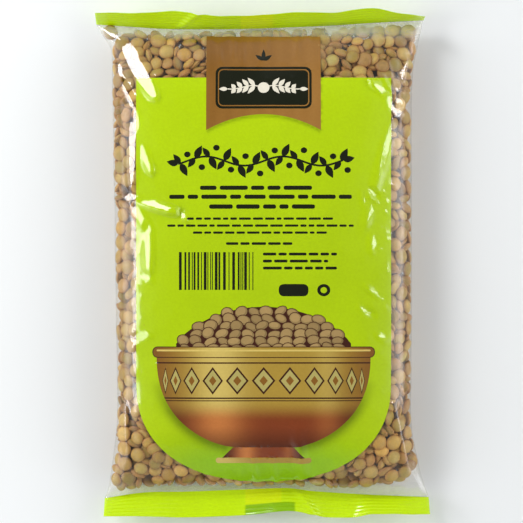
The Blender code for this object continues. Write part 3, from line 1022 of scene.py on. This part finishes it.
def inside_outline(points, outline):
    """True for points inside a closed outline."""
    result = np.zeros(len(points), bool)
    x, y = points.T
    for (x0, y0), (x1, y1) in zip(outline, np.roll(outline, -1, axis=0)):
        if y0 != y1:
            result ^= ((y0 > y) != (y1 > y)) & (x < (x1 - x0) * (y - y0) / (y1 - y0) + x0)
    return result


# In cells: how near an outline a grid point is left out, when two points are one, and no triangle
TOO_CLOSE, SAME_PLACE, NO_AREA = 0.36, 1e-5, 1e-7


def cut_sheet(sheet, prints):
    """The front sheet cut along every print's outline: places in cells, the grid point at each
    place or -1, triangles, and which print each triangle shows."""
    outlines = [sheet.place(fine(outline)) for outline, _ in prints]
    free = np.ones((ROWS + 1, COLUMNS + 1), bool)
    for outline in outlines:
        dense = fine(outline, 0.25)
        cell = np.rint(dense).astype(int)
        close = np.linalg.norm(dense - cell, axis=1) < TOO_CLOSE
        free[cell[close, 1], cell[close, 0]] = False
    free[[0, -1]] = True
    free[:, [0, -1]] = True
    row, column = np.nonzero(free)
    points, edges, start = [np.stack([column, row], 1).astype(float)], [], len(row)
    for outline in outlines:
        n = np.arange(len(outline))
        edges += np.stack([start + n, start + (n + 1) % len(n)], 1).tolist()
        points.append(outline)
        start += len(outline)
    corners = [Vector(p) for p in np.concatenate(points).tolist()]
    made = delaunay_2d_cdt(corners, edges, [], 0, SAME_PLACE, True)
    places = np.array([tuple(v) for v in made[0]])
    faces = np.array([tuple(f) for f in made[2]])
    own = np.full(len(places), -1)
    for n, origins in enumerate(made[3]):
        for origin in origins:
            if origin < len(row):
                own[n] = row[origin] * (COLUMNS + 1) + column[origin]
    a, b = places[faces[:, 1]] - places[faces[:, 0]], places[faces[:, 2]] - places[faces[:, 0]]
    area = a[:, 0] * b[:, 1] - a[:, 1] * b[:, 0]
    faces = np.where((area < 0)[:, None], faces[:, ::-1], faces)[np.abs(area) > NO_AREA]
    middle = places[faces].mean(1)
    which = np.full(len(faces), -1)
    for n, outline in enumerate(outlines):
        near = np.all((middle >= outline.min(0)) & (middle <= outline.max(0)), axis=1).nonzero()[0]
        which[near[inside_outline(middle[near], outline)]] = n
    return places, own, faces, which


# Meshes
class Shift:
    """Moves points from the drawing's place to the solid's, whose box is centred on the origin."""

    def __init__(self, points):
        low, high = points.min(0), points.max(0)
        self.by = np.array([(low[0] + high[0]) / 2, (low[1] + high[1]) / 2, 0.0])

    def __call__(self, points):
        return (points - self.by) * MM


def make_mesh(name, points, faces, materials, slots=None, colours=None, corner=False):
    """A smooth mesh of triangles. colours are for each point, or for each triangle's corners."""
    mesh = bpy.data.meshes.new(name)
    faces = np.asarray(faces, np.int32)
    mesh.vertices.add(len(points))
    mesh.vertices.foreach_set("co", np.asarray(points, np.float32).ravel())
    mesh.loops.add(faces.size)
    mesh.loops.foreach_set("vertex_index", faces.ravel())
    mesh.polygons.add(len(faces))
    mesh.polygons.foreach_set("loop_start", np.arange(0, faces.size, 3, dtype=np.int32))
    if slots is not None:
        mesh.polygons.foreach_set("material_index", np.asarray(slots, np.int32))
    mesh.update(calc_edges=True)
    mesh.shade_smooth()
    if colours is not None:
        layer = mesh.color_attributes.new("ink", "FLOAT_COLOR", "CORNER" if corner else "POINT")
        full = np.ones((len(colours), 4), np.float32)
        full[:, :3] = colours
        layer.data.foreach_set("color", full.ravel())
    for material in materials:
        mesh.materials.append(material)
    piece = bpy.data.objects.new(name, mesh)
    bpy.context.scene.collection.objects.link(piece)
    return piece


def split(quads):
    """Two triangles for each quad."""
    return np.concatenate([quads[:, [0, 1, 2]], quads[:, [0, 2, 3]]])


def tube_quads(number):
    """Quads round a tube of numbered points, row by row: (rows, width, 4)."""
    after = np.roll(number, -1, axis=1)
    return np.stack([number[:-1], after[:-1], after[1:], number[1:]], -1)


def end_caps(number):
    """Quads that close a flat tube's two ends, from its upper sheet to its lower."""
    width = number.shape[1]
    c = np.arange(width // 2 - 1)
    caps = []
    for row, turned in ((number[0], False), (number[-1], True)):
        cap = np.stack([row[c], row[width - 1 - c], row[width - 2 - c], row[c + 1]], 1)
        caps.append(cap[:, ::-1] if turned else cap)
    return np.concatenate(caps)


def film_piece(tube, over, shift, materials, rng):
    """The whole film: seals, sides and back as a tube of quads, and the front cut along its print."""
    prints = panel_print() + band_print() + vine_print() + bar_rows_print(rng)
    prints += upright_bars_print(rng) + bowl_print(rng)
    places, own, faces, which = cut_sheet(Sheet(), prints)
    low_rows, top_rows = [seal_rows(seal, rng) for seal in SEALS]
    grid = np.concatenate([np.array(low_rows[::-1]), over, np.array(top_rows)])
    rows, width = grid.shape[:2]
    half = COLUMNS + 1
    number = np.arange(rows * width).reshape(rows, width)
    row = np.arange(rows - 1)
    in_body = (row >= SEAL_ROWS) & (row < SEAL_ROWS + ROWS)
    use = ~(in_body[:, None] & (np.arange(width) < COLUMNS)[None, :])
    caps = end_caps(number)
    triangles = split(np.concatenate([tube_quads(number)[use], caps]))
    in_seal = np.broadcast_to(~in_body[:, None], use.shape)[use]
    slots = np.tile(np.concatenate([in_seal, np.ones(len(caps), bool)]).astype(int), 2)
    # The front's grid points keep their numbers, and points on an outline are new
    on_grid = own >= 0
    ids = np.empty(len(places), int)
    ids[on_grid] = (SEAL_ROWS + own[on_grid] // half) * width + own[on_grid] % half
    ids[~on_grid] = rows * width + np.arange((~on_grid).sum())
    points = np.concatenate([grid.reshape(-1, 3), smooth_read(over[:, :half], places[~on_grid])])
    # A colour for every corner
    steps = SEAL_HEIGHT * np.arange(SEAL_ROWS, 0, -1) / SEAL_ROWS
    out = np.repeat(np.concatenate([steps, np.zeros(ROWS + 1), steps[::-1]]), width)
    ink = np.tile(SEAL_GREEN, (triangles.size, 1))
    corner = triangles.ravel()
    for top in (False, True):
        pick = np.repeat(slots == 1, 3) & ((points[corner, 1] > 0) == top)
        ink[pick] = seal_ink(points[corner[pick], 0], out[corner[pick]], top)
    flat_xy = smooth_read(tube[:, :half, :2], places) / PRINT_SCALE
    front_ink = np.tile(SEAL_GREEN, (faces.size, 1))
    for n, (_, colour) in enumerate(prints):
        pick = np.repeat(which == n, 3)
        xy = flat_xy[faces.ravel()[pick]]
        front_ink[pick] = colour(xy[:, 0], xy[:, 1]) if callable(colour) else colour
    triangles = np.concatenate([triangles, ids[faces]])
    slots = np.concatenate([slots, (which >= 0).astype(int)])
    ink = np.concatenate([ink, front_ink])
    used, back = np.unique(triangles, return_inverse=True)
    triangles = back.reshape(triangles.shape)
    return make_mesh("film", shift(points[used]), triangles, materials, slots, ink, True)


def seam_piece(over, shift, material):
    """The lap seam along the middle of the back, a narrow second layer of film."""
    x = np.linspace(SEAM_LEFT, SEAM_RIGHT, SEAM_COLUMNS + 1)
    sheet = np.array([
        np.stack([x, *(np.interp(x, row[:, 0], row[:, k]) for k in (1, 2))], -1)
        for row in over[:, : COLUMNS : -1]
    ])
    grid = np.concatenate([sheet - (0, 0, SEAM_HIGH), (sheet - (0, 0, SEAM_LOW))[:, ::-1]], axis=1)
    number = np.arange(grid.shape[0] * grid.shape[1]).reshape(grid.shape[:2])
    quads = np.concatenate([tube_quads(number).reshape(-1, 4), end_caps(number)])
    return make_mesh("back_seam", shift(grid.reshape(-1, 3)), split(quads), [material])


CORE_ROWS, CORE_SIDES, CORE_SQUARENESS = 60, 96, 0.6


def core_piece(shift, material):
    """What the shell of whole lentils lies round: a plain dark body deep inside, its dark colour painted
    shade for the lentils there.
    """
    a = np.linspace(0, 2 * math.pi, CORE_SIDES, endpoint=False)
    rings = []
    for up in np.linspace(0.06, 0.94, CORE_ROWS):
        left, front, right = pillow([up], [-1.0, 0.0, 1.0], True)[0]
        back = pillow([up], [0.0], False)[0, 0]
        half_x = (right[0] - left[0]) / 2 - CORE_DEPTH
        half_z = (front[2] - back[2]) / 2 - CORE_DEPTH
        if half_z < 1.0:
            continue
        bulge = 1 + 0.02 * np.sin(7 * a + 31 * up) + 0.02 * np.sin(11 * a - 53 * up)
        x = half_x * np.sign(np.cos(a)) * np.abs(np.cos(a)) ** CORE_SQUARENESS * bulge
        z = half_z * np.sign(np.sin(a)) * np.abs(np.sin(a)) ** CORE_SQUARENESS * bulge
        rings.append(np.stack([
            (left[0] + right[0]) / 2 + x,
            np.full(CORE_SIDES, front[1]),
            (front[2] + back[2]) / 2 + z,
        ], -1))
    grid = np.array(rings)
    rows, width = grid.shape[:2]
    number = np.arange(rows * width).reshape(rows, width)
    after = np.roll(number, -1, axis=1)
    points = np.concatenate([grid.reshape(-1, 3), grid[[0, -1]].mean(1)])
    first, last = rows * width, rows * width + 1
    faces = np.concatenate([
        split(tube_quads(number)[..., ::-1].reshape(-1, 4)),
        np.stack([np.full(width, first), number[0], after[0]], 1),
        np.stack([np.full(width, last), after[-1], number[-1]], 1),
    ])
    return make_mesh("lentil_core", shift(points), faces, [material])


def lens(segments, rings):
    """A lens of radius 1 and half thickness 1: its points, triangles, and each point's reach out."""
    heights = [(1 - r**2.5) ** 0.62 for r in rings]
    upper = list(zip(rings, heights))
    levels = upper + [(1.0, 0.0)] + [(r, -h) for r, h in upper[::-1]]
    a = np.arange(segments) * 2 * math.pi / segments
    points = [np.array([[0, 0, 1.0]])]
    for reach, height in levels:
        points.append(np.stack([reach * np.cos(a), reach * np.sin(a), np.full(segments, height)], 1))
    points = np.concatenate(points + [np.array([[0, 0, -1.0]])])
    n = np.arange(segments)
    after = (n + 1) % segments
    faces = [np.stack([0 * n, 1 + n, 1 + after], 1)]
    for level in range(len(levels) - 1):
        low, high = 1 + level * segments, 1 + (level + 1) * segments
        faces.append(split(np.stack([low + n, high + n, high + after, low + after], 1)))
    base = 1 + (len(levels) - 1) * segments
    faces.append(np.stack([base + n, np.full(segments, len(points) - 1), base + after], 1))
    return points, np.concatenate(faces), np.linalg.norm(points[:, :2], axis=1)


# Each kind's name, share of the whole and seed coat
LENTIL_KINDS = [
    ("lentils_pale", 0.26, srgb(205, 173, 88)),
    ("lentils_tan", 0.29, srgb(191, 155, 72)),
    ("lentils_olive", 0.25, srgb(178, 148, 64)),
    ("lentils_rosy", 0.20, srgb(186, 145, 78)),
]
RIM_TINT, RIM_SHARE = srgb(170, 112, 52), 0.75
SHOWN_DEPTH = 5.0  # lentils deeper than this have simpler meshes
HIDDEN_HALF, HIDDEN_DROP = 54.0, 41.0  # half width and round foot of what the print surely hides


def under_print(x, y, inward):
    """True where the opaque print hides what lies under it."""
    off_middle = np.abs(x - PRINT_MIDDLE)
    drop = np.maximum(PANEL_ROUND_FROM - y, 0)
    in_print = (off_middle / HIDDEN_HALF) ** 2 + (drop / HIDDEN_DROP) ** 2 < 1
    return (inward[:, 2] < -0.5) & (off_middle < HIDDEN_HALF) & (y < PANEL_TOP - 5) & in_print


def lentil_pieces(lentils, depth, shift, material, rng):
    """The whole lentils, one mesh for each kind. Those that show have rounder meshes."""
    deep, inward = depth.read(lentils.centre)
    x, y = lentils.centre[:, 0], lentils.centre[:, 1]
    show = (deep < SHOWN_DEPTH) & ~under_print(x, y, inward)
    kind = rng.choice(len(LENTIL_KINDS), len(x), p=[share for _, share, _ in LENTIL_KINDS])
    stretch = 1 + rng.normal(0, 0.03, (len(x), 2)).clip(-0.07, 0.05)
    tone = rng.normal(1.0, 0.09, len(x)).clip(0.8, 1.2)
    warm = rng.normal(0.0, 0.05, len(x))
    pieces = []
    for k, (name, _, coat) in enumerate(LENTIL_KINDS):
        points, faces, colours, start = [], [], [], 0
        for shown, form in ((True, lens(16, [0.5, 0.8, 0.94])), (False, lens(8, [0.72]))):
            who = np.nonzero((kind == k) & (show == shown))[0]
            own, own_faces, reach = form
            size = lentils.radius[who, None] * np.column_stack([stretch[who], lentils.thick[who]])
            placed = np.einsum("nij,nkj->nki", lentils.turn[who], own[None] * size[:, None, :])
            points.append((placed + lentils.centre[who, None, :]).reshape(-1, 3))
            numbers = start + np.arange(len(who))[:, None, None] * len(own)
            faces.append((own_faces[None] + numbers).reshape(-1, 3))
            start += len(who) * len(own)
            skin = coat * tone[who, None] * (1 + warm[who, None] * np.array([1.0, 0.0, -1.0]))
            rim = (RIM_SHARE * reach**5)[None, :, None]
            colours.append(mix(skin[:, None, :], RIM_TINT * tone[who, None, None], rim).reshape(-1, 3))
        points, faces = np.concatenate(points), np.concatenate(faces)
        pieces.append(make_mesh(name, shift(points), faces, [material], colours=np.concatenate(colours)))
    return pieces


# Materials
class Graph:
    """The nodes of a material or of the world, with short ways to add them."""

    def __init__(self, owner):
        owner.use_nodes = True
        self.nodes, self.links = owner.node_tree.nodes, owner.node_tree.links

    def fill(self, node, inputs):
        """Gives inputs of a node their values, or joins them to other nodes' outputs."""
        for name, value in inputs.items():
            if isinstance(value, bpy.types.NodeSocket):
                self.links.new(value, node.inputs[name])
            else:
                node.inputs[name].default_value = value

    def add(self, kind, inputs=None, **settings):
        made = self.nodes.new("ShaderNode" + kind)
        for name, value in settings.items():
            setattr(made, name, value)
        self.fill(made, inputs or {})
        return made

    def work_out(self, operation, *values):
        return self.add("Math", dict(enumerate(values)), operation=operation).outputs[0]

    def ramp(self, source, low, high, dark, light):
        """The source's range low to high as values from dark to light."""
        ranges = {"From Min": low, "From Max": high, "To Min": dark, "To Max": light}
        return self.add("MapRange", {"Value": source, **ranges}).outputs["Result"]

    def noise(self, scale, detail=2.0, roughness=0.5):
        """Noise in the object's own metres, so that it stays on the piece."""
        place = self.add("TexCoord").outputs["Object"]
        values = {"Vector": place, "Scale": scale, "Detail": detail, "Roughness": roughness}
        return self.add("TexNoise", values).outputs["Fac"]

    def ink(self, *factors):
        """The mesh's own colour times each factor."""
        colour = self.add("Attribute", attribute_name="ink").outputs["Color"]
        for factor in factors:
            scaled = self.add("VectorMath", {0: colour, "Scale": factor}, operation="SCALE")
            colour = scaled.outputs["Vector"]
        return colour


def new_material(name):
    """A new material, its nodes and its main shader."""
    made = bpy.data.materials.new(name)
    graph = Graph(made)
    return made, graph, graph.nodes["Principled BSDF"]


# How milky the film is: from one Y to another, in metres, it goes from one share of haze to another
PLAIN_HAZE = 0.005
TOP_HAZE = (0.1015, 0.1055, PLAIN_HAZE, 0.34)
LOW_HAZE = (-0.1035, -0.0995, 0.2, PLAIN_HAZE)
HAZE_PATCHES = (0.35, 0.65, 0.55, 1.3)  # and patches of it: noise from one value to another
FACE_SHINE = 0.08  # the share of gloss on film seen square on


def end_haze(graph):
    """A breath of haze all over, and more where the film creases beside the seals."""
    place = graph.add("TexCoord").outputs["Object"]
    y = graph.add("SeparateXYZ", {0: place}).outputs["Y"]
    ends = graph.work_out("MAXIMUM", graph.ramp(y, *TOP_HAZE), graph.ramp(y, *LOW_HAZE))
    return graph.work_out("MULTIPLY", ends, graph.ramp(graph.noise(90), *HAZE_PATCHES))


def clear_film():
    """Clear glossy film: mostly see-through, with a mirror-like sheen and a breath of haze."""
    made, graph, shader = new_material("clear film")
    graph.nodes.remove(shader)
    through = graph.add("BsdfTransparent", {"Color": (0.975, 0.975, 0.965, 1)}).outputs[0]
    haze = graph.add("BsdfDiffuse", {"Color": (0.85, 0.84, 0.8, 1)}).outputs[0]
    shine = graph.add("BsdfGlossy", {"Roughness": 0.09}).outputs[0]
    edge = graph.add("LayerWeight", {"Blend": 0.5}).outputs["Facing"]
    gloss = graph.ramp(graph.work_out("POWER", edge, 5.0), 0, 1, FACE_SHINE, 1.0)
    body = graph.add("MixShader", {"Fac": end_haze(graph), 1: through, 2: haze}).outputs[0]
    whole = graph.add("MixShader", {"Fac": gloss, 1: body, 2: shine}).outputs[0]
    graph.fill(graph.nodes["Material Output"], {"Surface": whole})
    return made


def printed_film():
    """Film with opaque print on its inside: the ink's colour under a clear gloss."""
    made, graph, shader = new_material("printed film")
    fleck = graph.ramp(graph.noise(900, 3.0), 0.3, 0.7, 0.965, 1.035)
    drift = graph.ramp(graph.noise(45), 0.3, 0.7, 0.97, 1.03)
    graph.fill(shader, {
        "Base Color": graph.ink(fleck, drift),
        "Roughness": 0.45,
        "Specular IOR Level": 0.0,
        "Coat Weight": 1.0,
        "Coat Roughness": 0.08,
        "Coat IOR": 1.5,
    })
    return made


def seed_coat():
    """A dry lentil's skin: mottled, matt, with fine pitting."""
    made, graph, shader = new_material("lentil seed coat")
    blotch = graph.noise(420, 3.0, 0.6)
    speck = graph.noise(2200, 2.0, 0.6)
    wide = graph.ramp(blotch, 0.3, 0.7, 0.86, 1.12)
    small = graph.ramp(speck, 0.3, 0.7, 0.92, 1.06)
    pits = graph.add("Bump", {"Strength": 0.25, "Distance": 0.0001, "Height": speck})
    graph.fill(shader, {
        "Base Color": graph.ink(wide, small),
        "Roughness": graph.ramp(blotch, 0.3, 0.7, 0.48, 0.64),
        "Normal": pits.outputs["Normal"],
    })
    return made


def painted_shade_core():
    """Painted shade between lentils deep in the pack: a dark mottled brown."""
    made, graph, shader = new_material("shaded lentils")
    # Both browns are painted shade, far darker than the lentils' own seed coats
    values = {"Factor": graph.noise(260), "A": (*srgb(66, 46, 30), 1), "B": (*srgb(104, 78, 50), 1)}
    colour = graph.add("Mix", values, data_type="RGBA").outputs["Result"]
    graph.fill(shader, {"Base Color": colour, "Roughness": 0.9})
    return made


def floor_material():
    made, graph, shader = new_material("pale floor")
    graph.fill(shader, {"Base Color": (0.9, 0.925, 0.92, 1), "Roughness": 0.8})
    return made


# Camera, lights and floor
PHOTO_MIDDLE = (-0.46, 0.69)  # what the photograph's middle shows, in the drawing's place
VIEW_WIDTH = 239.0
SENSOR = 36.0


def add_camera(shift):
    data = bpy.data.cameras.new("camera")
    data.sensor_width = SENSOR
    data.lens = SENSOR * CAMERA_DISTANCE / VIEW_WIDTH
    camera = bpy.data.objects.new("camera", data)
    camera.location = shift(np.array([*PHOTO_MIDDLE, CAMERA_DISTANCE + CAMERA_AIM_HEIGHT]))
    bpy.context.scene.collection.objects.link(camera)
    bpy.context.scene.camera = camera


def add_light(name, place, size, radiance):
    """A soft box that faces the pack. place and size are in millimetres."""
    data = bpy.data.lights.new(name, "AREA")
    data.shape = "RECTANGLE"
    data.size, data.size_y = size[0] * MM, size[1] * MM
    data.energy = radiance * math.pi * (size[0] * size[1] * MM**2)
    light = bpy.data.objects.new(name, data)
    light.location = np.array(place) * MM
    light.rotation_euler = Vector(place).to_track_quat("Z", "Y").to_euler()
    bpy.context.scene.collection.objects.link(light)


# Soft boxes: place and size in millimetres, and radiance where white is 1
SOFT_BOXES = {
    "left": ((-680, 95, 570), (170, 170), 11.5),
    "lower left": ((-780, -75, 570), (170, 160), 7.0),
    "upper left": ((-500, 540, 570), (220, 220), 15.0),
    "right": ((640, 85, 590), (36, 110), 11.0),
    "upper right": ((700, 210, 570), (80, 80), 12.0),
}
WORLD_STRENGTH = 3.9
WORLD_RISE = [(0.0, 0.22), (0.32, 1.0), (0.78, 0.12), (1.0, 0.05)]  # height, 0 to 1, and its share
WORLD_LEFT, WORLD_RIGHT = 0.9, 1.2  # a factor on each side
WORLD_END = 0.08  # and off the pack's ends


def studio_world():
    """Soft light all round: brightest low over the horizon, dim overhead and off the pack's ends."""
    world = bpy.data.worlds.new("studio")
    graph = Graph(world)
    place = graph.add("TexCoord").outputs["Generated"]
    way = graph.add("SeparateXYZ", {0: place}).outputs
    rise = graph.add("ValToRGB", {"Fac": way["Z"]})
    rise.color_ramp.interpolation = "EASE"
    while len(rise.color_ramp.elements) < len(WORLD_RISE):
        rise.color_ramp.elements.new(0.5)
    for element, (height, share) in zip(rise.color_ramp.elements, WORLD_RISE):
        element.position = height
        element.color = (share, share, share, 1)
    to_end = graph.work_out("ABSOLUTE", way["Y"])
    ends = graph.ramp(to_end, 0, 1, WORLD_STRENGTH, WORLD_STRENGTH * WORLD_END)
    sides = graph.ramp(way["X"], -1, 1, WORLD_LEFT, WORLD_RIGHT)
    strength = graph.work_out("MULTIPLY", rise.outputs["Color"], ends)
    strength = graph.work_out("MULTIPLY", strength, sides)
    graph.fill(graph.nodes["Background"], {"Strength": strength, "Color": (0.98, 0.98, 1.0, 1)})
    return world


def add_lights():
    for name, (place, size, radiance) in SOFT_BOXES.items():
        add_light(name + " soft box", place, size, radiance)
    bpy.context.scene.world = studio_world()
    bpy.context.scene.view_settings.view_transform = "Standard"


def add_floor():
    bpy.ops.mesh.primitive_plane_add(size=4.0)
    floor = bpy.context.object
    floor.name = "floor"
    floor.data.materials.append(floor_material())


def main():
    rng = np.random.default_rng(7)
    tube = tube_of_film()
    normals = tube_normals(tube)
    depth = Depth(tube, normals)
    lentils = Lentils(depth, rng)
    lentils.relax(depth, RELAX_STEPS)
    lentils.fill_ends(depth, rng)
    over = film_over(tube, normals, lentils, depth, rng)
    # The seals reach furthest each way, so they set the middle. Their waves are drawn apart here, and
    # the film's own seals may end a tenth of a millimetre off it
    apart = np.random.default_rng(1)
    shift = Shift(np.concatenate([row for seal in SEALS for row in seal_rows(seal, apart)]))
    clear = clear_film()
    film = film_piece(tube, over, shift, [clear, printed_film()], rng)
    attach(film, BODY)
    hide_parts(NODE)
    seam = seam_piece(over, shift, clear)
    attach(seam, BODY)
    for piece in lentil_pieces(lentils, depth, shift, seed_coat(), rng):
        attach(piece, BODY)
    core = core_piece(shift, painted_shade_core())
    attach(core, BODY)
    add_camera(shift)
    add_lights()
    add_floor()


main()
